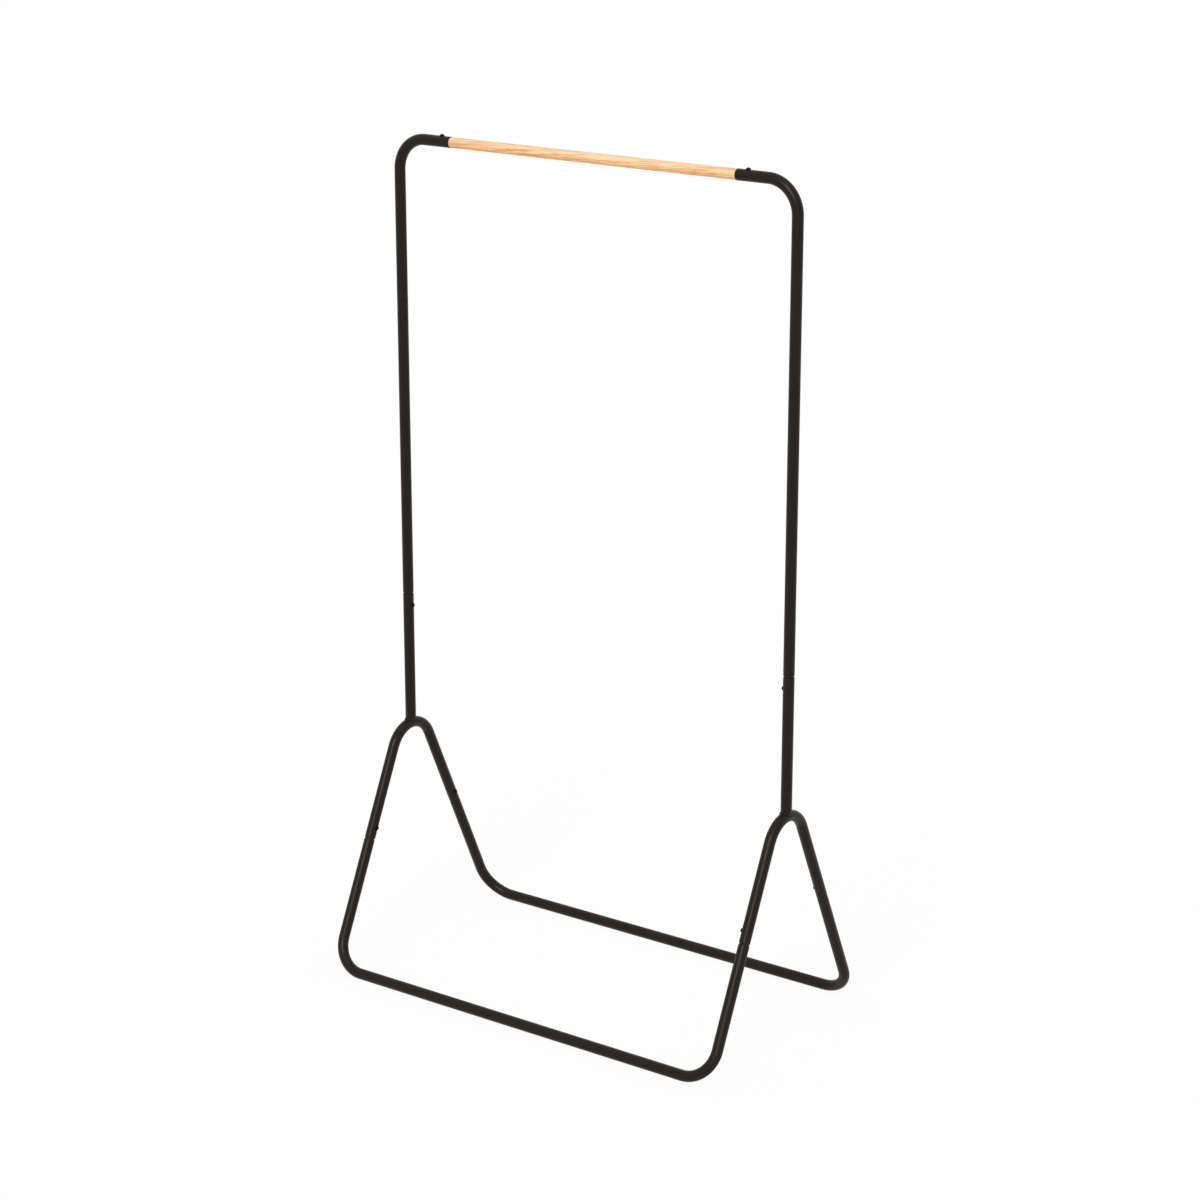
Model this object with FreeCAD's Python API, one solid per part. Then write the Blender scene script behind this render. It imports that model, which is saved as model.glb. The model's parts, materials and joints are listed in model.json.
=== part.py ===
import FreeCAD, Part
import math
import os

# Knock-down clothes rack: bent steel tubes that plug together and lock with sprung push buttons,
# and a round wooden hanging rail. Millimetres, +Z up, X along the hanging rail, Y front to back.
# The origin is on the floor, in the middle of the rack.

Vector = FreeCAD.Vector

# Frame, measured between tube axes
post_spacing = 842.0       # left post to right post
rail_height = 1540.0       # floor to the hanging rail
base_depth = 466.0         # front floor rail to back floor rail
apex_height = 508.0        # floor to the point where the two leg axes of a yoke would cross
post_joint_height = 685.0  # floor to the mouth of a stub
leg_joint_height = 235.0   # floor to the mouth of a yoke leg, on the leg's axis

# Bends, to the tube's axis
elbow_radius = 58.0
apex_radius = 58.0
foot_radius = 58.0

# Tube and the drawn-down ends that plug into the next tube
tube_od = 20.0
tube_wall = 1.2
swage_length = 5.0         # cone from full size down to the spigot
spigot_clearance = 0.1     # all round, between a spigot and its socket
seat_clearance = 0.05      # all round, between the cone and the mouth that it seats on
spigot_tail = 24.0         # button axis to the spigot's tip
tip_lead = 1.0             # tapered lead-in on a tip

# Wooden rail
rail_od = 19.0
rail_edge_chamfer = 0.4
tenon_end_gap = 16.0       # tenon tip to the start of the elbow's bend
tenon_wall = 2.2           # wood left round the blind hole that holds the spring clip
tenon_bore_spare = 2.0     # depth past the end of the clip

# Push buttons
button_d = 9.0
button_proud = 3.5         # above the tube
dome_height = 2.6
button_inset = 21.0        # socket mouth to the button's axis
button_hole_clearance = 0.2
rivet_d = 3.0              # tail that holds the button on its strip
rivet_clearance = 0.1
rivet_head_d = 4.8
rivet_head_height = 0.7

# Spring clips, a strip bent to a U
strip_width = 6.0
strip_thickness = 0.6
clip_clearance = 0.1       # strip edges to the bore
clip_tip_gap = 4.0         # bend of the U to the spigot's tip
strip_overhang = 5.5       # button axis to the free end of the strip

# Weld between stub and yoke
weld_root_gap = 0.05
weld_leg = 2.5             # reach along the yoke
weld_throat = 2.4          # reach up the stub
weld_side = 0.5            # reach past the sides of the two tubes

# Sizes that follow from those above
tube_radius = tube_od / 2
bore_radius = tube_radius - tube_wall
spigot_radius = bore_radius - spigot_clearance
spigot_bore_radius = spigot_radius - tube_wall
tenon_bore_radius = spigot_radius - tenon_wall
plug_length = button_inset + spigot_tail
elbow_arm = elbow_radius + plug_length + tenon_end_gap
button_hole_radius = button_d / 2 + button_hole_clearance
swage_show = swage_length * (tube_wall + seat_clearance) / (tube_radius - spigot_radius)
leg_slope = math.atan2(base_depth / 2, apex_height - tube_radius)
apex_axis_height = apex_height - apex_radius * (1 / math.sin(leg_slope) - 1)
cut_past = tube_od         # how far a cutting solid runs past what it cuts

UP = Vector(0, 0, 1)
DOWN = Vector(0, 0, -1)
sides = {"left": -1, "right": 1}
faces = {"front": -1, "back": 1}


def outward(side):
    return Vector(sides[side], 0, 0)


def straight_rod(start, end, radius):
    return Part.makeCylinder(radius, start.distanceToPoint(end), start, end - start)


def disc(centre, direction, radius):
    return Part.Face(Part.Wire(Part.makeCircle(radius, centre, direction)))


def tube_ring(centre, direction, radius):
    return disc(centre, direction, radius).cut(disc(centre, direction, radius - tube_wall))


def bent_run(points, bend_radius, section, radius):
    # A disc or a tube's ring carried along straight runs that arcs of one bend radius join
    pieces = []
    run_start = points[0]
    for before, corner, after in zip(points, points[1:], points[2:]):
        back = (before - corner).normalize()
        ahead = (after - corner).normalize()
        half_angle = back.getAngle(ahead) / 2
        set_back = bend_radius / math.tan(half_angle)
        bend_start = corner + back * set_back
        bend_centre = corner + (back + ahead).normalize() * (bend_radius / math.sin(half_angle))
        turn = 180 - math.degrees(2 * half_angle)
        pieces.append(section(run_start, back * -1, radius).extrude(bend_start - run_start))
        pieces.append(section(bend_start, back * -1, radius).revolve(bend_centre, ahead.cross(back), turn))
        run_start = corner + ahead * set_back
    last_run = points[-1] - run_start
    pieces.append(section(run_start, last_run, radius).extrude(last_run))
    return pieces[0].fuse(pieces[1:])


class Joint:
    # A plug in a socket. into points from the mouth into the socket, and out is where the button faces.
    def __init__(self, mouth, into, out, plug_bore_radius):
        self.mouth = mouth
        self.into = into
        self.out = out
        self.shoulder = mouth - into * swage_show
        self.tip = mouth + into * plug_length
        self.strip_face = math.sqrt(plug_bore_radius ** 2 - (strip_width / 2) ** 2) - clip_clearance

    def place(self, shape):
        # From the joint's own frame, X into the socket and Z towards the button's face
        turn = FreeCAD.Rotation(self.into, self.out.cross(self.into), self.out, "XZY")
        shape.Placement = FreeCAD.Placement(self.mouth, turn)
        return shape

    def button_hole(self):
        start = self.mouth + self.into * button_inset
        return straight_rod(start, start + self.out * (tube_radius + cut_past), button_hole_radius)

    def spigot(self):
        # Drawn-down tube end: a cone from the full tube, the spigot and its tapered tip
        cone_end = swage_length - swage_show
        wall_outline = [
            (-swage_show, tube_radius),
            (cone_end, spigot_radius),
            (plug_length - tip_lead, spigot_radius),
            (plug_length, spigot_radius - tube_wall / 2),
            (plug_length, spigot_bore_radius),
            (cone_end, spigot_bore_radius),
            (-swage_show, bore_radius),
        ]
        corners = [Vector(along, 0, radius) for along, radius in wall_outline]
        wall = Part.Face(Part.makePolygon(corners + corners[:1]))
        return self.place(wall.revolve(Vector(0, 0, 0), Vector(1, 0, 0), 360))

    def button(self):
        # Domed pin with a rivet tail through the strip
        radius = button_d / 2
        dome_start = tube_radius + button_proud - dome_height
        top = tube_radius + button_proud
        cap_radius = (dome_height ** 2 + radius ** 2) / (2 * dome_height)
        half_cap = math.asin(radius / cap_radius) / 2
        head_top = self.strip_face - strip_thickness - rivet_clearance
        head_bottom = head_top - rivet_head_height

        def point(out, along):
            return Vector(button_inset + out, 0, along)

        outline = [
            point(0, head_bottom),
            point(rivet_head_d / 2, head_bottom),
            point(rivet_head_d / 2, head_top),
            point(rivet_d / 2, head_top),
            point(rivet_d / 2, self.strip_face),
            point(radius, self.strip_face),
            point(radius, dome_start),
        ]
        cap_drop = cap_radius * (1 - math.cos(half_cap))
        cap_middle = point(cap_radius * math.sin(half_cap), top - cap_drop)
        edges = [Part.LineSegment(a, b).toShape() for a, b in zip(outline, outline[1:])]
        edges.append(Part.Arc(outline[-1], cap_middle, point(0, top)).toShape())
        edges.append(Part.LineSegment(point(0, top), outline[0]).toShape())
        section = Part.Face(Part.Wire(edges))
        return self.place(section.revolve(point(0, 0), UP, 360))

    def clip(self):
        # U-shaped strip: one leg carries the button, the other bears on the far side of the bore
        outer = self.strip_face
        inner = outer - strip_thickness
        free_end = button_inset - strip_overhang
        bend_centre = plug_length - clip_tip_gap - outer

        def point(along, across):
            return Vector(along, -strip_width / 2, across)

        edges = [
            Part.LineSegment(point(free_end, outer), point(bend_centre, outer)),
            Part.Arc(point(bend_centre, outer), point(bend_centre + outer, 0), point(bend_centre, -outer)),
            Part.LineSegment(point(bend_centre, -outer), point(free_end, -outer)),
            Part.LineSegment(point(free_end, -outer), point(free_end, -inner)),
            Part.LineSegment(point(free_end, -inner), point(bend_centre, -inner)),
            Part.Arc(point(bend_centre, -inner), point(bend_centre + inner, 0), point(bend_centre, inner)),
            Part.LineSegment(point(bend_centre, inner), point(free_end, inner)),
            Part.LineSegment(point(free_end, inner), point(free_end, outer)),
        ]
        outline = Part.Wire([edge.toShape() for edge in edges])
        strip = Part.Face(outline).extrude(Vector(0, strip_width, 0))
        rivet_hole = Part.makeCylinder(rivet_d / 2 + rivet_clearance, outer, Vector(button_inset, 0, 0))
        return self.place(strip.cut(rivet_hole))


def post_x(side):
    return sides[side] * post_spacing / 2


def rail_joint(side):
    mouth = Vector(sides[side] * (post_spacing / 2 - elbow_arm), 0, rail_height)
    return Joint(mouth, outward(side), UP, tenon_bore_radius)


def post_joint(side):
    mouth = Vector(post_x(side), 0, post_joint_height)
    return Joint(mouth, DOWN, outward(side) * -1, spigot_bore_radius)


def floor_corner(face, side):
    return Vector(post_x(side), faces[face] * base_depth / 2, tube_radius)


def leg_apex(side):
    return Vector(post_x(side), 0, apex_height)


def leg_joint(face, side):
    corner = floor_corner(face, side)
    up_leg = (leg_apex(side) - corner).normalize()
    mouth = corner + up_leg * ((leg_joint_height - tube_radius) / up_leg.z)
    return Joint(mouth, up_leg, outward(side) * -1, spigot_bore_radius)


def wooden_rail():
    ends = rail_joint("right")
    shoulder = ends.mouth.x
    tip = ends.tip.x
    rail_radius = rail_od / 2
    half_outline = [
        (tip, 0),
        (tip, spigot_radius - tip_lead),
        (tip - tip_lead, spigot_radius),
        (shoulder, spigot_radius),
        (shoulder, rail_radius - rail_edge_chamfer),
        (shoulder - rail_edge_chamfer, rail_radius),
    ]
    outline = half_outline + [(-x, r) for x, r in reversed(half_outline)]
    corners = [Vector(x, 0, rail_height + r) for x, r in outline]
    section = Part.Face(Part.makePolygon(corners + corners[:1]))
    rail = section.revolve(Vector(0, 0, rail_height), Vector(1, 0, 0), 360)
    bore_depth = plug_length - button_inset + strip_overhang + tenon_bore_spare
    for side in sides:
        joint = rail_joint(side)
        bore_end = joint.tip - joint.into * bore_depth
        bore = straight_rod(bore_end, joint.tip + joint.into * cut_past, tenon_bore_radius)
        rail = rail.cut([bore, joint.button_hole()])
    return rail


def upper_post(side):
    top = rail_joint(side)
    foot = post_joint(side)
    points = [foot.shoulder, Vector(post_x(side), 0, rail_height), top.mouth]
    post = bent_run(points, elbow_radius, tube_ring, tube_radius).fuse(foot.spigot())
    return post.cut([top.button_hole(), foot.button_hole()])


def yoke_points(side):
    return [leg_joint("front", side).mouth, leg_apex(side), leg_joint("back", side).mouth]


def leg_yoke(side):
    yoke = bent_run(yoke_points(side), apex_radius, tube_ring, tube_radius)
    return yoke.cut([leg_joint(face, side).button_hole() for face in faces])


def stub_foot(side):
    return Vector(post_x(side), 0, apex_axis_height)


def saddle(side, clearance):
    # The yoke's outside, grown by a clearance
    return bent_run(yoke_points(side), apex_radius, disc, tube_radius + clearance)


def socket_stub(side):
    foot = stub_foot(side)
    joint = post_joint(side)
    stub = tube_ring(foot, UP, tube_radius).extrude(joint.mouth - foot)
    return stub.cut([saddle(side, weld_root_gap), joint.button_hole()])


def weld_bead(side):
    # Collar in the corner between stub and yoke, following the saddle
    foot = stub_foot(side)
    top = post_joint(side).mouth
    collar_radius = tube_radius + weld_leg
    collar = straight_rod(foot, top, collar_radius)
    half_width = tube_radius + weld_side
    slab_corner = foot - Vector(half_width, collar_radius, 0)
    slab = Part.makeBox(2 * half_width, 2 * collar_radius, top.z - foot.z, slab_corner)
    bead = collar.common(saddle(side, weld_throat)).common(slab)
    return bead.cut([saddle(side, weld_root_gap), straight_rod(foot, top, tube_radius)])


def floor_rail(face):
    ends = [leg_joint(face, side) for side in sides]
    corners = [floor_corner(face, side) for side in sides]
    points = [ends[0].shoulder] + corners + [ends[1].shoulder]
    run = bent_run(points, foot_radius, tube_ring, tube_radius)
    rail = run.fuse([end.spigot() for end in ends])
    return rail.cut([end.button_hole() for end in ends])


parts = {"wooden_rail": wooden_rail()}
for side in sides:
    parts["upper_post_" + side] = upper_post(side)
    parts["socket_stub_" + side] = socket_stub(side)
    parts["leg_yoke_" + side] = leg_yoke(side)
    parts["weld_bead_" + side] = weld_bead(side)
for face in faces:
    parts["floor_rail_" + face] = floor_rail(face)

joints = {}
for side in sides:
    joints["rail_{}_" + side] = rail_joint(side)
    joints["post_{}_" + side] = post_joint(side)
    for face in faces:
        joints["leg_{}_" + face + "_" + side] = leg_joint(face, side)
for name, joint in joints.items():
    parts[name.format("button")] = joint.button()
    parts[name.format("clip")] = joint.clip()

os.makedirs("parts", exist_ok=True)
for node, shape in parts.items():
    (solid,) = shape.Solids    # every piece is one solid
    print(node, "valid" if solid.isValid() else "not valid", round(solid.Volume, 1), "mm3")
    solid.exportStep("parts/" + node + ".step")
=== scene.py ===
import json
import math

import bmesh
import bpy
from mathutils import Euler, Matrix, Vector


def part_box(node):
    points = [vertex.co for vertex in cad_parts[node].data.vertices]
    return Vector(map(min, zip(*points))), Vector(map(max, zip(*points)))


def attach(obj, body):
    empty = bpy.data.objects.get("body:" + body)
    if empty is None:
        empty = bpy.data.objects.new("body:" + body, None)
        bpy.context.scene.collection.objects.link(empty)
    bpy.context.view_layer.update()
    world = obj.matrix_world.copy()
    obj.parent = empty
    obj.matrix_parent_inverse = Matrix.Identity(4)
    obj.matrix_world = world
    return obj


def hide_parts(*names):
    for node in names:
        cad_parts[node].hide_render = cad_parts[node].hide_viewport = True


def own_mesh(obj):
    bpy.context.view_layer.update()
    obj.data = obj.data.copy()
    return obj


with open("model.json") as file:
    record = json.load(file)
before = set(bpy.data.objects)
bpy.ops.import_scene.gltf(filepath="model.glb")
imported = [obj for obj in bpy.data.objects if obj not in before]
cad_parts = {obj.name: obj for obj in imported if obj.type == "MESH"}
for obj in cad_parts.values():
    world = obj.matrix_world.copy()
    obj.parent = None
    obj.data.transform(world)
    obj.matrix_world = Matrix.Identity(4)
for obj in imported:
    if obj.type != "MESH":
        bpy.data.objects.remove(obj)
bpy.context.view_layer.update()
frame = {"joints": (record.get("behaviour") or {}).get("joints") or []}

sides = {"left": -1, "right": 1}
faces = {"front": -1, "back": 1}
down = Vector((0, 0, -1))

# main lines of the rack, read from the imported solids, in metres
stubLow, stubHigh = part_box("socket_stub_right")
railLow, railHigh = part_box("wooden_rail")
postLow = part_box("upper_post_right")[0]
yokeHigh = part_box("leg_yoke_right")[1]
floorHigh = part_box("floor_rail_back")[1]
tubeRadius = (stubHigh.x - stubLow.x) / 2
postX = (stubHigh.x + stubLow.x) / 2
stubMouthZ = stubHigh.z
railZ = (railHigh.z + railLow.z) / 2
armMouthX = postLow.x
plugLength = stubMouthZ - postLow.z
floorRailY = floorHigh.y - tubeRadius
yokeTopZ = yokeHigh.z - tubeRadius          # tube axis at the top of the bend


# mesh helpers

meshSet = {
    "seamGap": 1e-7,          # a swept skin's seam is closed over this
    "mergeGap": 2e-6,         # points that a cut leaves closer than this become one
    "shortEdge": 1e-6,        # edges that a cut leaves shorter than this go
    "sharpAngle": 35,         # steeper edges stay sharp, degrees
}


def addObject(name, data):
    holder = bpy.data.objects.new(name, data)
    bpy.context.scene.collection.objects.link(holder)
    return holder


def growPiece(name, mesh, tree, values):
    piece = addObject(name, mesh)
    grow = piece.modifiers.new("grow", "NODES")
    grow.node_group = tree
    for item in tree.interface.items_tree:
        if item.in_out == "INPUT" and item.name in values:
            grow[item.identifier] = values[item.name]
    return piece


def settle(piece, cutters=(), sharpAngle=meshSet["sharpAngle"]):
    # modifiers and cutters become a plain closed mesh
    for cutter in cutters:
        cut = piece.modifiers.new("cut", "BOOLEAN")
        cut.operation = "DIFFERENCE"
        cut.solver = "EXACT"
        cut.object = cutter
    graph = bpy.context.evaluated_depsgraph_get()
    mesh = bpy.data.meshes.new_from_object(piece.evaluated_get(graph))
    piece.modifiers.clear()
    piece.data = mesh
    mesh.name = piece.name
    for cutter in cutters:
        bpy.data.objects.remove(cutter)
    work = bmesh.new()
    work.from_mesh(mesh)
    bmesh.ops.remove_doubles(work, verts=work.verts, dist=meshSet["mergeGap"])
    bmesh.ops.dissolve_degenerate(work, edges=work.edges, dist=meshSet["shortEdge"])
    bmesh.ops.recalc_face_normals(work, faces=work.faces)
    work.to_mesh(mesh)
    work.free()
    mesh.shade_smooth()
    mesh.set_sharp_from_angle(angle=math.radians(sharpAngle))


def standFor(piece, node, body):
    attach(piece, body)
    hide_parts(node)


# node helpers

def addNode(tree, kind, inputs=None, **settings):
    node = tree.nodes.new(kind)
    for name, value in settings.items():
        setattr(node, name, value)
    for socket, value in (inputs or {}).items():
        if isinstance(value, bpy.types.NodeSocket):
            tree.links.new(value, node.inputs[socket])
        else:
            node.inputs[socket].default_value = value
    return node


def newTree(name, kind, inputs, outputs):
    tree = bpy.data.node_groups.new(name, kind)
    for socketName, socketType in inputs.items():
        tree.interface.new_socket(socketName, in_out="INPUT", socket_type="NodeSocket" + socketType)
    for socketName, socketType in outputs.items():
        tree.interface.new_socket(socketName, in_out="OUTPUT", socket_type="NodeSocket" + socketType)
    return tree, addNode(tree, "NodeGroupInput").outputs, addNode(tree, "NodeGroupOutput")


def endShape(tree, out, shape, material):
    # what every shape tree ends in
    real = addNode(tree, "GeometryNodeRealizeInstances", {"Geometry": shape})
    done = addNode(tree, "GeometryNodeSetMaterial", {"Geometry": real.outputs[0], "Material": material})
    tree.links.new(done.outputs[0], out.inputs[0])


def calc(tree, operation, *values):
    return addNode(tree, "ShaderNodeMath", dict(enumerate(values)), operation=operation).outputs[0]


def vectorCalc(tree, operation, *values):
    return addNode(tree, "ShaderNodeVectorMath", dict(enumerate(values)), operation=operation).outputs


def remap(tree, value, span, result):
    return addNode(tree, "ShaderNodeMapRange", {
        "Value": value, "From Min": span[0], "From Max": span[1],
        "To Min": result[0], "To Max": result[1]}).outputs["Result"]


def noise(tree, scale, detail, **inputs):
    return addNode(tree, "ShaderNodeTexNoise", {"Scale": scale, "Detail": detail, **inputs}).outputs["Fac"]


def mixColour(tree, factor, first, second):
    return addNode(tree, "ShaderNodeMix", {0: factor, 6: first, 7: second}, data_type="RGBA").outputs[2]


def addGroup(tree, group, inputs):
    return addNode(tree, "ShaderNodeGroup", inputs, node_tree=group).outputs


# effects that the finishes share

grainSet = {
    "fineDetail": 2.0,
    "fineRough": 0.45,
    "speckFiner": 3.1,        # specks are that many times finer than the peel
    "speckDetail": 1.0,
    "speckHeight": 0.35,
    "broadDetail": 3.0,
    "broadRough": 0.55,
    "mottleSpan": (0.3, 0.7),  # what the mottle mostly keeps to
}
wearSet = {
    "breakDetail": 4.0,
    "breakSpan": (0.4, 0.7),  # from whole coat to rubbed, in the noise that breaks the wear up
}


def makeSurfaceGrain():
    # fine peel and broad mottle
    tree, given, out = newTree(
        "surfaceGrain", "ShaderNodeTree",
        {"Vector": "Vector", "Fine Scale": "Float", "Broad Scale": "Float"},
        {"Height": "Float", "Mottle": "Float"})
    speckScale = calc(tree, "MULTIPLY", given["Fine Scale"], grainSet["speckFiner"])
    fine = noise(tree, given["Fine Scale"], grainSet["fineDetail"],
                 Vector=given["Vector"], Roughness=grainSet["fineRough"])
    speck = noise(tree, speckScale, grainSet["speckDetail"], Vector=given["Vector"])
    broad = noise(tree, given["Broad Scale"], grainSet["broadDetail"],
                  Vector=given["Vector"], Roughness=grainSet["broadRough"])
    height = calc(tree, "MULTIPLY_ADD", speck, grainSet["speckHeight"], fine)
    tree.links.new(height, out.inputs["Height"])
    tree.links.new(broad, out.inputs["Mottle"])
    return tree


def makeRimWear():
    # how much a cut edge is rubbed, from the piece's own rim attribute
    tree, given, out = newTree(
        "rimWear", "ShaderNodeTree", {"Vector": "Vector", "Break Scale": "Float"}, {"Mask": "Float"})
    rim = addNode(tree, "ShaderNodeAttribute", attribute_name="rim").outputs["Fac"]
    breaks = noise(tree, given["Break Scale"], wearSet["breakDetail"], Vector=given["Vector"])
    mask = calc(tree, "MULTIPLY", rim, remap(tree, breaks, wearSet["breakSpan"], (0, 1)))
    tree.links.new(mask, out.inputs["Mask"])
    return tree


surfaceGrain = makeSurfaceGrain()
rimWear = makeRimWear()


def startMaterial(name):
    material = bpy.data.materials.new(name)
    material.use_nodes = True
    tree = material.node_tree
    place = addNode(tree, "ShaderNodeTexCoord").outputs["Object"]
    return material, tree, tree.nodes["Principled BSDF"], place


def finishMaterial(tree, shader, look, colour, rough, height):
    # what changes over the surface is linked, and the rest is set on the shader
    tree.links.new(colour, shader.inputs["Base Color"])
    tree.links.new(rough, shader.inputs["Roughness"])
    shader.inputs["Specular IOR Level"].default_value = look["specular"]
    shader.inputs["Metallic"].default_value = look["metallic"]
    bump = addNode(tree, "ShaderNodeBump", {
        "Height": height, "Strength": look["bumpStrength"], "Distance": look["bumpDepth"]})
    tree.links.new(bump.outputs["Normal"], shader.inputs["Normal"])


# black coat on the tubes, black on the buttons, bare steel strips

coatSet = {
    "dark": (0.0061, 0.004, 0.0027, 1.0),
    "light": (0.0108, 0.0072, 0.0051, 1.0),
    "worn": (0.03, 0.028, 0.026, 1.0),
    "wornSmoother": 0.08,
    "breakScale": 900.0,
    "peelScale": 1000.0,      # bumps per metre of the orange peel
    "mottleScale": 70.0,
    "roughness": (0.3, 0.4),
    "specular": 0.16,
    "metallic": 0.0,
    "bumpStrength": 0.16,
    "bumpDepth": 0.00025,
}
buttonBlackSet = {
    "dark": (0.0018, 0.0017, 0.0017, 1.0),
    "light": (0.0042, 0.004, 0.0038, 1.0),
    "peelScale": 2600.0,
    "mottleScale": 500.0,
    "roughness": (0.2, 0.34),
    "specular": 0.08,
    "metallic": 0.0,
    "bumpStrength": 0.08,
    "bumpDepth": 0.0001,
}
springSteelSet = {
    "dark": (0.36, 0.36, 0.37, 1.0),
    "light": (0.55, 0.54, 0.53, 1.0),
    "peelScale": 3500.0,
    "mottleScale": 350.0,
    "roughness": (0.24, 0.42),
    "specular": 0.5,
    "metallic": 1.0,
    "bumpStrength": 0.1,
    "bumpDepth": 0.00005,
}


def makeMottled(name, look):
    # two tones drift into each other over a fine peel, and rubbed edges show where the look has them
    material, tree, shader, place = startMaterial(name)
    grain = addGroup(tree, surfaceGrain, {
        "Vector": place, "Fine Scale": look["peelScale"], "Broad Scale": look["mottleScale"]})
    colour = mixColour(tree, grain["Mottle"], look["dark"], look["light"])
    rough = remap(tree, grain["Mottle"], grainSet["mottleSpan"], look["roughness"])
    if "worn" in look:
        worn = addGroup(tree, rimWear, {"Vector": place, "Break Scale": look["breakScale"]})["Mask"]
        colour = mixColour(tree, worn, colour, look["worn"])
        rough = calc(tree, "MULTIPLY_ADD", worn, -look["wornSmoother"], rough)
    finishMaterial(tree, shader, look, colour, rough, grain["Height"])
    return material


# pale wood of the rail: warm near the heart of the tree, which lies under the rail so that the warm colour
# also paints shade on the rail's lower front side, with rings, streaks, fibres and pores

woodSet = {
    "pale": (0.88, 0.63, 0.365, 1.0),
    "warm": (0.66, 0.29, 0.1, 1.0),
    "pore": (0.5, 0.235, 0.09, 1.0),
    "heart": (0.0, -0.008, -0.022),      # heart of the tree, from the rail's axis; set below and in front of it, so that the warm zone lies on the lower front side as painted shade
    "heartReach": (0.034, 0.017),        # pale out here, and warm this near the heart, as heartwood colour and painted shade on the underside
    "heartShare": 0.62,                  # share of the warm colour there, heartwood colour and painted shade
    "zoneScale": 130.0,
    "zoneDetail": 2.0,
    "zoneSway": 0.03,                    # how far the edge of the warm zone and its painted shade wanders
    "tilt": (0.0, -2.4, 1.5),            # degrees between the tree and the rail
    "stretch": 0.05,                     # grain runs along the rail
    "noiseRough": 0.6,
    "ringScale": 95.0,
    "ringWander": 4.0,
    "ringDetail": 3.0,
    "ringDetailScale": 1.2,
    "ringSpan": (0.4, 1.0),              # early to late wood of a ring
    "ringShare": (-0.1, 0.22),           # how much of the warm colour that takes or adds
    "streakScale": 290.0,
    "streakDetail": 5.0,
    "streakSpan": (0.44, 0.64),
    "streakShare": (-0.2, 0.5),
    "fibreScale": 800.0,
    "fibreDetail": 4.0,
    "fibreSpan": (0.42, 0.66),
    "fibreShare": (-0.14, 0.34),
    "poreScale": 1900.0,
    "poreDetail": 2.0,
    "poreShorter": 2.2,                  # pores are that much shorter than fibres
    "poreSpan": (0.61, 0.74),
    "poreShare": (0.0, 0.55),
    "poreDepth": 0.6,
    "mottleScale": 60.0,
    "roughness": (0.42, 0.58),
    "specular": 0.35,
    "metallic": 0.0,
    "bumpStrength": 0.22,
    "bumpDepth": 0.00012,
}


def woodNoise(tree, place, layer):
    return noise(tree, woodSet[layer + "Scale"], woodSet[layer + "Detail"],
                 Vector=place, Roughness=woodSet["noiseRough"])


def woodShare(tree, value, layer):
    return remap(tree, value, woodSet[layer + "Span"], woodSet[layer + "Share"])


def makeWood():
    material, tree, shader, place = startMaterial("naturalWood")
    heart = Vector(woodSet["heart"]) + Vector((0, 0, railZ))
    tilt = Euler([math.radians(angle) for angle in woodSet["tilt"]])
    fromHeart = vectorCalc(tree, "SUBTRACT", place, heart)[0]
    along = addNode(tree, "ShaderNodeMapping", {
        "Vector": fromHeart, "Rotation": tilt, "Scale": (1 / woodSet["stretch"], 1, 1)},
        vector_type="TEXTURE").outputs[0]
    # warm zone, by the distance from the heart across the rail: heartwood colour, and painted shade on the
    # rail's lower front side
    across = vectorCalc(tree, "MULTIPLY", fromHeart, (0, 1, 1))[0]
    depth = vectorCalc(tree, "LENGTH", across)["Value"]
    sway = calc(tree, "SUBTRACT", woodNoise(tree, along, "zone"), 0.5)
    uneven = calc(tree, "MULTIPLY_ADD", sway, woodSet["zoneSway"], depth)
    heartAndUnderShade = remap(tree, uneven, woodSet["heartReach"], (0, woodSet["heartShare"]))
    # rings, streaks and fibres add to it
    rings = addNode(tree, "ShaderNodeTexWave", {
        "Vector": along, "Scale": woodSet["ringScale"], "Distortion": woodSet["ringWander"],
        "Detail": woodSet["ringDetail"], "Detail Scale": woodSet["ringDetailScale"]},
        wave_type="RINGS", rings_direction="X", wave_profile="SAW").outputs["Fac"]
    fibres = woodNoise(tree, along, "fibre")
    share = calc(tree, "ADD", heartAndUnderShade, woodShare(tree, rings, "ring"))
    share = calc(tree, "ADD", share, woodShare(tree, woodNoise(tree, along, "streak"), "streak"))
    share = calc(tree, "ADD", share, woodShare(tree, fibres, "fibre"))
    share = addNode(tree, "ShaderNodeClamp", {"Value": share}).outputs[0]
    colour = mixColour(tree, share, woodSet["pale"], woodSet["warm"])
    shorter = addNode(tree, "ShaderNodeMapping", {
        "Vector": along, "Scale": (woodSet["poreShorter"], 1, 1)}).outputs[0]
    pores = woodShare(tree, woodNoise(tree, shorter, "pore"), "pore")
    colour = mixColour(tree, pores, colour, woodSet["pore"])
    grain = addGroup(tree, surfaceGrain, {"Vector": place, "Broad Scale": woodSet["mottleScale"]})
    rough = remap(tree, grain["Mottle"], grainSet["mottleSpan"], woodSet["roughness"])
    height = calc(tree, "MULTIPLY_ADD", pores, -woodSet["poreDepth"], fibres)
    finishMaterial(tree, shader, woodSet, colour, rough, height)
    return material


powderCoat = makeMottled("blackPowderCoat", coatSet)
naturalWood = makeWood()
buttonBlack = makeMottled("buttonBlack", buttonBlackSet)
springSteel = makeMottled("springSteel", springSteelSet)
print("finishes: powder coat, wood, button black, spring steel")


# round stock: a circle carried along a route, with its own girth and bend at each point

stockSet = {
    "round": 64,              # facets round the stock
    "bendSteps": 30,
    "squareStep": 0.00002,    # length given to a square step in girth
}


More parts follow.
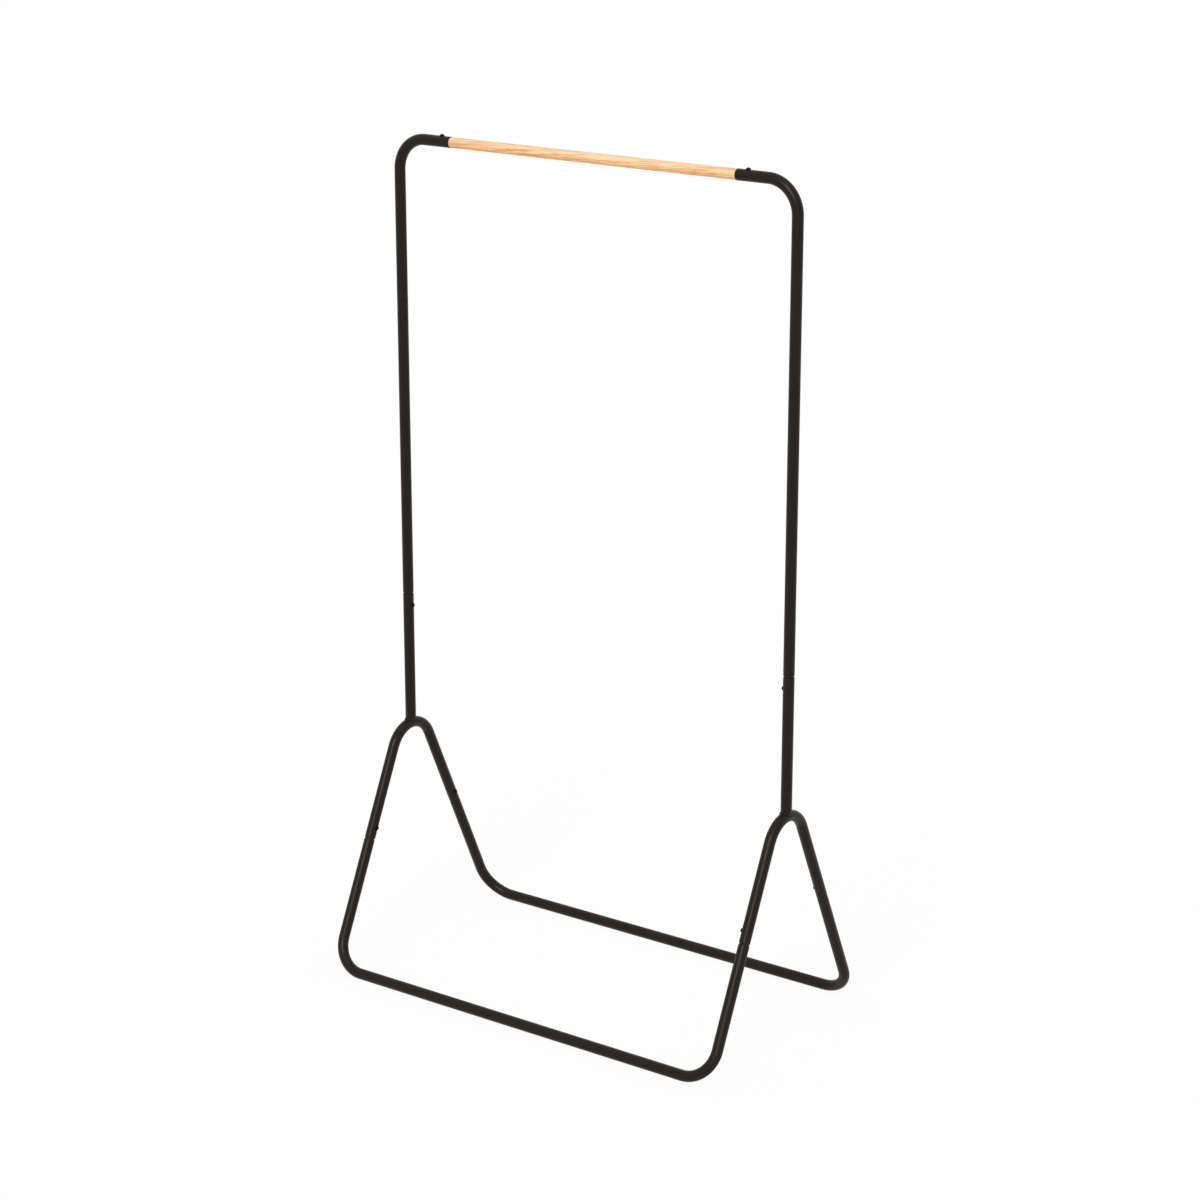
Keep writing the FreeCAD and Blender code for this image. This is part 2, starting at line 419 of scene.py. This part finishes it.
def makeRoundStock():
    tree, given, out = newTree(
        "roundStock", "GeometryNodeTree",
        {"Geometry": "Geometry", "Round": "Int", "Bend Steps": "Int", "Closed Ends": "Bool",
         "Material": "Material"},
        {"Geometry": "Geometry"})
    bend = addNode(tree, "GeometryNodeInputNamedAttribute", {"Name": "bend"}, data_type="FLOAT")
    girth = addNode(tree, "GeometryNodeInputNamedAttribute", {"Name": "girth"}, data_type="FLOAT")
    line = addNode(tree, "GeometryNodeMeshToCurve", {"Mesh": given["Geometry"]})
    bent = addNode(tree, "GeometryNodeFilletCurve", {
        "Curve": line.outputs[0], "Count": given["Bend Steps"], "Radius": bend.outputs["Attribute"],
        "Limit Radius": True}, mode="POLY")
    circle = addNode(tree, "GeometryNodeCurvePrimitiveCircle", {"Resolution": given["Round"], "Radius": 1.0})
    skin = addNode(tree, "GeometryNodeCurveToMesh", {
        "Curve": bent.outputs[0], "Profile Curve": circle.outputs["Curve"],
        "Scale": girth.outputs["Attribute"], "Fill Caps": given["Closed Ends"]})
    merged = addNode(tree, "GeometryNodeMergeByDistance", {
        "Geometry": skin.outputs[0], "Distance": meshSet["seamGap"]})
    endShape(tree, out, merged.outputs[0], given["Material"])
    return tree


roundStock = makeRoundStock()


def routeMesh(name, route):
    # route: point, girth and, at a corner, the bend radius
    mesh = bpy.data.meshes.new(name)
    count = len(route)
    mesh.from_pydata([stop[0] for stop in route], [(i, i + 1) for i in range(count - 1)], [])
    girth = mesh.attributes.new("girth", "FLOAT", "POINT")
    girth.data.foreach_set("value", [stop[1] for stop in route])
    bend = mesh.attributes.new("bend", "FLOAT", "POINT")
    bend.data.foreach_set("value", [stop[2] if len(stop) > 2 else 0.0 for stop in route])
    return mesh


def growRound(name, route, material, closedEnds):
    return growPiece(name, routeMesh(name, route), roundStock, {
        "Round": stockSet["round"], "Bend Steps": stockSet["bendSteps"], "Closed Ends": closedEnds,
        "Material": material})


def roundCutter(start, end, radius):
    return growRound("cutter", [(start, radius), (end, radius)], None, True)


# lines of the legs, and the ends of the tubes

tubeSet = {
    "wall": 0.0012,
    "bendRadius": 0.058,
    "rimRound": 0.00035,      # softened edge of a cut end
    "rimSteps": 3,
    "rimAngle": 60,           # steeper edges are softened, degrees
    "rimBand": 0.003,         # ring of mesh behind a cut end
    "wearReach": 0.0009,      # how far the coat is rubbed from a cut edge
    "copeGap": 0.0001,        # foot of a stub to its yoke
    "legCross": 0.508,        # height where the two leg lines of a yoke would cross
    "legMouth": 0.235,        # height of a leg's open end, on its axis
}
plugSet = {
    "clearance": 0.0001,      # spigot to socket bore
    "swageLength": 0.005,
    "swageInside": 0.0002,    # end of the swage, past the mouth
    "swageSteps": 10,
    "tipLead": 0.001,
    "tipTaper": 0.0006,
    "holeRadius": 0.0047,
}
spigotRadius = tubeRadius - tubeSet["wall"] - plugSet["clearance"]
legLine = Vector((0, -floorRailY, tubeSet["legCross"] - tubeRadius)).normalized()


def floorCorner(face, side):
    return Vector((sides[side] * postX, faces[face] * floorRailY, tubeRadius))


def legInto(face):
    return Vector((0, faces[face] * legLine.y, legLine.z))


def legMouth(face, side):
    rise = (tubeSet["legMouth"] - tubeRadius) / legLine.z
    return floorCorner(face, side) + legInto(face) * rise


def easeStep(t):
    return t * t * (3 - 2 * t)


def plugEnd(mouth, into):
    # from the spigot's tip out to the full tube
    stops = [(mouth + into * plugLength, spigotRadius - plugSet["tipTaper"]),
             (mouth + into * (plugLength - plugSet["tipLead"]), spigotRadius)]
    steps = plugSet["swageSteps"]
    for step in range(steps + 1):
        share = step / steps
        depth = plugSet["swageInside"] - share * plugSet["swageLength"]
        stops.append((mouth + into * depth, spigotRadius + (tubeRadius - spigotRadius) * easeStep(share)))
    return stops


def socketEnd(mouth, into):
    return [(mouth, tubeRadius), (mouth + into * tubeSet["rimBand"], tubeRadius)]


# each button locks a plug in its socket, with a spring strip behind it

buttonSet = {
    "diameter": 0.009,
    "proud": 0.0035,
    "domeHeight": 0.0026,
    "domeSteps": 14,
    "footRound": 0.00025,
    "rivetDiameter": 0.003,
    "rivetHeadDiameter": 0.0048,
    "rivetHeadHeight": 0.0007,
    "rivetGap": 0.0001,
    "sharpAngle": 50,
}


def spanAlong(node, axis):
    low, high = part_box(node)
    return abs((high - low).dot(axis))


def plugWay(node):
    # the way that the button's plug goes in
    words = node.split("_")
    if words[0] == "rail":
        return Vector((sides[words[-1]], 0, 0))
    if words[0] == "post":
        return down
    return legInto(words[2])


def findLocks():
    locks = {}
    for joint in frame["joints"]:
        node = joint["child"]
        clip = node.replace("button", "clip")
        out = -Vector(joint["axis"])
        low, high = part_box(node)
        tip = (low + high) / 2 + out * spanAlong(node, out) / 2
        locks[node] = {
            "seat": tip - out * (tubeRadius + buttonSet["proud"]),    # on the tube's axis
            "out": out,                                               # the way the button faces
            "into": plugWay(node),
            "press": joint["name"],
            "travel": joint["range_m"][1],
            "clip": clip,
            "stripFace": spanAlong(clip, out) / 2,                    # tube's axis to the strip's outside
        }
    return locks


locks = findLocks()


def buttonHole(node):
    lock = locks[node]
    return roundCutter(lock["seat"], lock["seat"] + lock["out"] * tubeRadius * 2, plugSet["holeRadius"])


# tubes

def markRims(piece, rims):
    # rim attribute: 1 on a cut edge, 0 a little way off
    values = []
    for vertex in piece.data.vertices:
        near = 1.0
        for centre, axis, radius in rims:
            off = vertex.co - centre
            along = off.dot(axis)
            out = (off - axis * along).length
            near = min(near, math.hypot(along, out - radius))
        values.append(math.exp(-(near / tubeSet["wearReach"]) ** 2))
    piece.data.attributes.new("rim", "FLOAT", "POINT").data.foreach_set("value", values)


def finishTube(name, node, route, cutters, rims):
    # wall, softened rims, holes
    tube = growRound(name, route, powderCoat, False)
    wall = tube.modifiers.new("wall", "SOLIDIFY")
    wall.thickness = tubeSet["wall"]
    wall.offset = -1
    wall.use_even_offset = True
    edge = tube.modifiers.new("edge", "BEVEL")
    edge.width = tubeSet["rimRound"]
    edge.segments = tubeSet["rimSteps"]
    edge.limit_method = "ANGLE"
    edge.angle_limit = math.radians(tubeSet["rimAngle"])
    settle(tube, cutters)
    markRims(tube, rims)
    standFor(tube, node, "frame")


def makePost(side):
    sign = sides[side]
    foot = Vector((sign * postX, 0, stubMouthZ))
    corner = Vector((sign * postX, 0, railZ))
    arm = Vector((sign * armMouthX, 0, railZ))
    outward = Vector((sign, 0, 0))
    elbow = [(corner, tubeRadius, tubeSet["bendRadius"])]
    route = plugEnd(foot, down) + elbow + socketEnd(arm, outward)[::-1]
    holes = [buttonHole("rail_button_" + side), buttonHole("post_button_" + side)]
    finishTube("upperPost-" + side, "upper_post_" + side, route, holes, [(arm, outward, tubeRadius)])


def yokeRoute(side, extra):
    apex = [(Vector((sides[side] * postX, 0, tubeSet["legCross"])), tubeRadius, tubeSet["bendRadius"])]
    front, back = [socketEnd(legMouth(face, side), legInto(face)) for face in faces]
    return [(stop[0], stop[1] + extra, *stop[2:]) for stop in front + apex + back[::-1]]


def makeYoke(side):
    holes = [buttonHole("leg_button_" + face + "_" + side) for face in faces]
    rims = [(legMouth(face, side), legInto(face), tubeRadius) for face in faces]
    finishTube("legYoke-" + side, "leg_yoke_" + side, yokeRoute(side, 0), holes, rims)


def makeStub(side):
    # coped over the yoke at its foot
    mouth = Vector((sides[side] * postX, 0, stubMouthZ))
    foot = Vector((sides[side] * postX, 0, yokeTopZ))
    route = socketEnd(mouth, down) + [(foot, tubeRadius)]
    saddle = growRound("cutter", yokeRoute(side, tubeSet["copeGap"]), None, True)
    cutters = [buttonHole("post_button_" + side), saddle]
    finishTube("socketStub-" + side, "socket_stub_" + side, route, cutters, [(mouth, down, tubeRadius)])


def makeFloorRail(face):
    left, right = [plugEnd(legMouth(face, side), legInto(face)) for side in sides]
    corners = [(floorCorner(face, side), tubeRadius, tubeSet["bendRadius"]) for side in sides]
    holes = [buttonHole("leg_button_" + face + "_" + side) for side in sides]
    finishTube("floorRail-" + face, "floor_rail_" + face, left + corners + right[::-1], holes, [])


for side in sides:
    makePost(side)
    makeStub(side)
    makeYoke(side)
for face in faces:
    makeFloorRail(face)
print("tubes: 2 posts, 2 stubs, 2 yokes, 2 floor rails")


# wooden hanging rail, with a bored tenon at each end

railSet = {
    "edge": 0.0004,           # eased shoulder
    "edgeRound": 0.3,         # share of it that the middle of the easing leaves
    "edgeBand": 0.004,        # ring of mesh behind the shoulder
    "tipEdge": 0.001,
    "boreRadius": 0.0065,
    "boreDepth": 0.0315,
    "borePast": 0.01,         # the cutter goes that far out of the end
    "shoulderGap": 0.00004,
}


def makeRail():
    radius = (railHigh.z - railLow.z) / 2
    shoulder = armMouthX - railSet["shoulderGap"]
    tip = railHigh.x
    edge = railSet["edge"]
    middle = edge * railSet["edgeRound"]
    half = [
        (tip, spigotRadius - railSet["tipEdge"]),
        (tip - railSet["tipEdge"], spigotRadius),
        (shoulder + stockSet["squareStep"], spigotRadius),
        (shoulder, radius - edge),
        (shoulder - middle, radius - middle),
        (shoulder - edge, radius),
        (shoulder - railSet["edgeBand"], radius),
    ]
    outline = half + [(-x, girth) for x, girth in reversed(half)]
    route = [(Vector((x, 0, railZ)), girth) for x, girth in outline]
    rail = growRound("hangingRail", route, naturalWood, True)
    cutters = []
    for side, sign in sides.items():
        outward = Vector((sign, 0, 0))
        end = Vector((sign * tip, 0, railZ))
        deep = end - outward * railSet["boreDepth"]
        cutters.append(roundCutter(deep, end + outward * railSet["borePast"], railSet["boreRadius"]))
        cutters.append(buttonHole("rail_button_" + side))
    settle(rail, cutters)
    standFor(rail, "wooden_rail", "frame")


makeRail()
print("hanging rail")


# weld bead round the foot of each stub

weldSet = {
    "bead": 0.0026,           # radius of the bead
    "sideSink": 0.0021,       # how far it sinks where the two tubes run side by side
    "sideEase": 0.03,         # how round its line turns there
    "ripples": 27.0,
    "rippleHeight": 0.00016,
    "chevron": 1.4,           # how far the ripples lean
    "lumps": 0.0005,
    "lumpScale": 260.0,
    "lumpDetail": 2.0,
    "rings": 324,
    "round": 28,
    "sharpAngle": 80,
}


def makeWeldTree():
    tree, given, out = newTree(
        "weldBead", "GeometryNodeTree",
        {"Geometry": "Geometry", "Post X": "Float", "Tube Radius": "Float", "Yoke Bend": "Float",
         "Bend Centre": "Float", "Bead": "Float", "Side Sink": "Float", "Side Ease": "Float",
         "Ripples": "Float", "Ripple Height": "Float", "Chevron": "Float", "Lumps": "Float",
         "Lump Scale": "Float", "Lump Detail": "Float", "Rings": "Int", "Round": "Int",
         "Material": "Material"},
        {"Geometry": "Geometry"})
    ring = addNode(tree, "GeometryNodeCurvePrimitiveCircle", {"Resolution": given["Rings"], "Radius": 1.0})
    turn = addNode(tree, "GeometryNodeSplineParameter").outputs["Factor"]
    angle = calc(tree, "MULTIPLY", turn, 2 * math.pi)
    sine = calc(tree, "SINE", angle)
    cosine = calc(tree, "COSINE", angle)
    # the line where the stub meets the yoke, eased at the two sides
    sink = calc(tree, "MULTIPLY", given["Side Sink"], calc(tree, "MULTIPLY", cosine, cosine))
    reach = calc(tree, "SUBTRACT", given["Tube Radius"], sink)
    x = calc(tree, "MULTIPLY_ADD", reach, cosine, given["Post X"])
    y = calc(tree, "MULTIPLY", given["Tube Radius"], sine)
    eased = calc(tree, "SQRT", calc(tree, "MULTIPLY_ADD", sine, sine, given["Side Ease"]))
    yokeReach = calc(tree, "MULTIPLY_ADD", given["Tube Radius"], eased, given["Yoke Bend"])
    rise = calc(tree, "SQRT", calc(tree, "SUBTRACT", calc(tree, "MULTIPLY", yokeReach, yokeReach),
                                   calc(tree, "MULTIPLY", y, y)))
    z = calc(tree, "ADD", given["Bend Centre"], rise)
    seam = addNode(tree, "ShaderNodeCombineXYZ", {0: x, 1: y, 2: z}).outputs[0]
    laid = addNode(tree, "GeometryNodeSetPosition", {"Geometry": ring.outputs["Curve"], "Position": seam})
    kept = addNode(tree, "GeometryNodeStoreNamedAttribute", {
        "Geometry": laid.outputs[0], "Name": "turn", "Value": turn}, data_type="FLOAT", domain="POINT")
    section = addNode(tree, "GeometryNodeCurvePrimitiveCircle", {
        "Resolution": given["Round"], "Radius": given["Bead"]})
    bead = addNode(tree, "GeometryNodeCurveToMesh", {
        "Curve": kept.outputs[0], "Profile Curve": section.outputs["Curve"]})
    # ripples lean along the bead, and slow lumps make them uneven
    turned = addNode(tree, "GeometryNodeInputNamedAttribute", {"Name": "turn"}, data_type="FLOAT")
    normal = addNode(tree, "GeometryNodeInputNormal").outputs[0]
    upward = addNode(tree, "ShaderNodeSeparateXYZ", {0: normal}).outputs["Z"]
    lean = calc(tree, "MULTIPLY", upward, given["Chevron"])
    turnedAngle = calc(tree, "MULTIPLY", turned.outputs["Attribute"], 2 * math.pi)
    phase = calc(tree, "MULTIPLY_ADD", turnedAngle, given["Ripples"], lean)
    wave = calc(tree, "MULTIPLY", calc(tree, "SINE", phase), given["Ripple Height"])
    drift = calc(tree, "SUBTRACT", noise(tree, given["Lump Scale"], given["Lump Detail"]), 0.5)
    lump = calc(tree, "MULTIPLY", drift, given["Lumps"])
    push = addNode(tree, "ShaderNodeVectorMath", {0: normal, "Scale": calc(tree, "ADD", wave, lump)},
                   operation="SCALE").outputs[0]
    rippled = addNode(tree, "GeometryNodeSetPosition", {"Geometry": bead.outputs[0], "Offset": push})
    endShape(tree, out, rippled.outputs[0], given["Material"])
    return tree


weldTree = makeWeldTree()


def makeWeld(side):
    bend = tubeSet["bendRadius"]
    weld = growPiece("weldBead-" + side, bpy.data.meshes.new("weld"), weldTree, {
        "Post X": sides[side] * postX, "Tube Radius": tubeRadius, "Yoke Bend": bend,
        "Bend Centre": yokeTopZ - bend, "Bead": weldSet["bead"], "Side Sink": weldSet["sideSink"],
        "Side Ease": weldSet["sideEase"], "Ripples": weldSet["ripples"],
        "Ripple Height": weldSet["rippleHeight"], "Chevron": weldSet["chevron"], "Lumps": weldSet["lumps"],
        "Lump Scale": weldSet["lumpScale"], "Lump Detail": weldSet["lumpDetail"],
        "Rings": weldSet["rings"], "Round": weldSet["round"], "Material": powderCoat})
    settle(weld, sharpAngle=weldSet["sharpAngle"])
    standFor(weld, "weld_bead_" + side, "frame")


for side in sides:
    makeWeld(side)
print("weld beads")


# spring strips behind the buttons

clipSet = {
    "width": 0.006,
    "thickness": 0.0006,
    "overhang": 0.0055,       # button axis to the strip's free end
    "reach": 0.02,            # button axis to the back of the bend
    "bendSteps": 18,
    "bendShare": 0.999,       # of a full half round, so that the two bends stay apart
}


def makeStripTree():
    tree, given, out = newTree(
        "springStrip", "GeometryNodeTree",
        {"Geometry": "Geometry", "Width": "Float", "Thickness": "Float", "Bend Radius": "Float",
         "Bend Steps": "Int", "Face": "Vector", "Material": "Material"},
        {"Geometry": "Geometry"})
    line = addNode(tree, "GeometryNodeMeshToCurve", {"Mesh": given["Geometry"]})
    bent = addNode(tree, "GeometryNodeFilletCurve", {
        "Curve": line.outputs[0], "Count": given["Bend Steps"], "Radius": given["Bend Radius"],
        "Limit Radius": True}, mode="POLY")
    turned = addNode(tree, "GeometryNodeSetCurveNormal", {
        "Curve": bent.outputs[0], "Normal": given["Face"]}, mode="FREE")
    section = addNode(tree, "GeometryNodeCurvePrimitiveQuadrilateral", {
        "Width": given["Width"], "Height": given["Thickness"]})
    strip = addNode(tree, "GeometryNodeCurveToMesh", {
        "Curve": turned.outputs[0], "Profile Curve": section.outputs["Curve"], "Fill Caps": True})
    merged = addNode(tree, "GeometryNodeMergeByDistance", {
        "Geometry": strip.outputs[0], "Distance": meshSet["seamGap"]})
    endShape(tree, out, merged.outputs[0], given["Material"])
    return tree


stripTree = makeStripTree()


def makeClip(node):
    lock = locks[node]
    seat, out, into, stripFace = lock["seat"], lock["out"], lock["into"], lock["stripFace"]
    halfThick = clipSet["thickness"] / 2
    rise = stripFace - halfThick
    free = -clipSet["overhang"]
    back = clipSet["reach"] - halfThick
    points = [seat + into * along + out * across
              for along, across in ((free, rise), (back, rise), (back, -rise), (free, -rise))]
    mesh = bpy.data.meshes.new("strip")
    mesh.from_pydata(points, [(0, 1), (1, 2), (2, 3)], [])
    clip = growPiece("springClip-" + node.replace("_button", ""), mesh, stripTree, {
        "Width": clipSet["width"], "Thickness": clipSet["thickness"],
        "Bend Radius": rise * clipSet["bendShare"], "Bend Steps": clipSet["bendSteps"],
        "Face": out.cross(into), "Material": springSteel})
    holeRadius = buttonSet["rivetDiameter"] / 2 + buttonSet["rivetGap"]
    settle(clip, [roundCutter(seat, seat + out * tubeRadius, holeRadius)])
    standFor(clip, lock["clip"], "frame")
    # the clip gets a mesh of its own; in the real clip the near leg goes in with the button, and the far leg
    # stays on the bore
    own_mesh(clip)


# push buttons, each on its own body

def buttonOutline(stripFace):
    # height above the tube's axis, and radius
    radius = buttonSet["diameter"] / 2
    top = tubeRadius + buttonSet["proud"]
    domeHeight = buttonSet["domeHeight"]
    capRadius = (domeHeight ** 2 + radius ** 2) / (2 * domeHeight)
    halfCap = math.asin(radius / capRadius)
    headTop = stripFace - clipSet["thickness"] - buttonSet["rivetGap"]
    headRadius = buttonSet["rivetHeadDiameter"] / 2
    rivetRadius = buttonSet["rivetDiameter"] / 2
    step = stockSet["squareStep"]
    foot = buttonSet["footRound"]
    outline = [
        (headTop - buttonSet["rivetHeadHeight"], headRadius),
        (headTop, headRadius),
        (headTop + step, rivetRadius),
        (stripFace, rivetRadius),
        (stripFace + step, radius - foot),
        (stripFace + step + foot, radius),
    ]
    for turn in range(buttonSet["domeSteps"] + 1):
        angle = halfCap * (1 - turn / buttonSet["domeSteps"])
        outline.append((top - capRadius * (1 - math.cos(angle)), capRadius * math.sin(angle)))
    return outline


def makeButton(node):
    lock = locks[node]
    outline = buttonOutline(lock["stripFace"])
    route = [(lock["seat"] + lock["out"] * height, radius) for height, radius in outline]
    button = growRound("pushButton-" + node.replace("_button", ""), route, buttonBlack, True)
    settle(button, sharpAngle=buttonSet["sharpAngle"])
    standFor(button, node, node)


for node in locks:
    makeButton(node)
    makeClip(node)
print("buttons and clips:", len(locks), "of each")


# floor, light and camera

stageSet = {
    "floorSize": 80.0,
    "floorColour": (0.95, 0.95, 0.95, 1.0),
    "shadowShare": 0.08,      # how much of the floor's own shading the camera sees
    "ambient": 0.56,
}
lightSet = {
    "key": {"azimuth": 15, "elevation": 34, "strength": 1.8, "spread": 24},
    "top": {"azimuth": 60, "elevation": 76, "strength": 0.25, "spread": 50},
}
cameraSet = {
    "place": (3.0005, -4.1363, 2.3289),
    "azimuth": 35.762,
    "elevation": 17.188,
    "focal": 2989.7,          # in pixels of the picture
    "picture": 1200,
    "sensor": 36,
}


def pictureRay(tree):
    # camera, mirror and glass rays see the white background
    path = addNode(tree, "ShaderNodeLightPath").outputs
    both = calc(tree, "MAXIMUM", path["Is Camera Ray"], path["Is Glossy Ray"])
    return calc(tree, "MAXIMUM", both, path["Is Transmission Ray"])


def makeFloor():
    half = stageSet["floorSize"] / 2
    corners = [(-half, -half, 0), (half, -half, 0), (half, half, 0), (-half, half, 0)]
    mesh = bpy.data.meshes.new("floor")
    mesh.from_pydata(corners, [], [(0, 1, 2, 3)])
    material = bpy.data.materials.new("paleFloor")
    material.use_nodes = True
    tree = material.node_tree
    tree.nodes.remove(tree.nodes["Principled BSDF"])
    matte = addNode(tree, "ShaderNodeBsdfDiffuse", {"Color": stageSet["floorColour"]})
    white = addNode(tree, "ShaderNodeEmission", {"Strength": 1.0})
    share = calc(tree, "MULTIPLY", pictureRay(tree), 1 - stageSet["shadowShare"])
    mixed = addNode(tree, "ShaderNodeMixShader", {0: share, 1: matte.outputs[0], 2: white.outputs[0]})
    tree.links.new(mixed.outputs[0], tree.nodes["Material Output"].inputs["Surface"])
    mesh.materials.append(material)
    addObject("floor", mesh)


def makeWorld():
    world = bpy.data.worlds.new("studio")
    bpy.context.scene.world = world
    world.use_nodes = True
    tree = world.node_tree
    background = tree.nodes["Background"]
    background.inputs["Color"].default_value = (1, 1, 1, 1)
    strength = remap(tree, pictureRay(tree), (0, 1), (stageSet["ambient"], 1))
    tree.links.new(strength, background.inputs["Strength"])


def aim(holder, setting):
    holder.rotation_euler = (math.radians(90 - setting["elevation"]), 0, math.radians(setting["azimuth"]))


def makeLights():
    for name, setting in lightSet.items():
        lamp = bpy.data.lights.new(name, "SUN")
        lamp.energy = setting["strength"]
        lamp.angle = math.radians(setting["spread"])
        aim(addObject(name, lamp), setting)


def makeCamera():
    camera = bpy.data.cameras.new("camera")
    camera.sensor_width = cameraSet["sensor"]
    camera.lens = cameraSet["focal"] / cameraSet["picture"] * camera.sensor_width
    holder = addObject("camera", camera)
    holder.location = cameraSet["place"]
    aim(holder, cameraSet)
    bpy.context.scene.camera = holder


makeFloor()
makeWorld()
makeLights()
makeCamera()
bpy.context.scene.view_settings.view_transform = "Standard"
print("floor, light and camera")
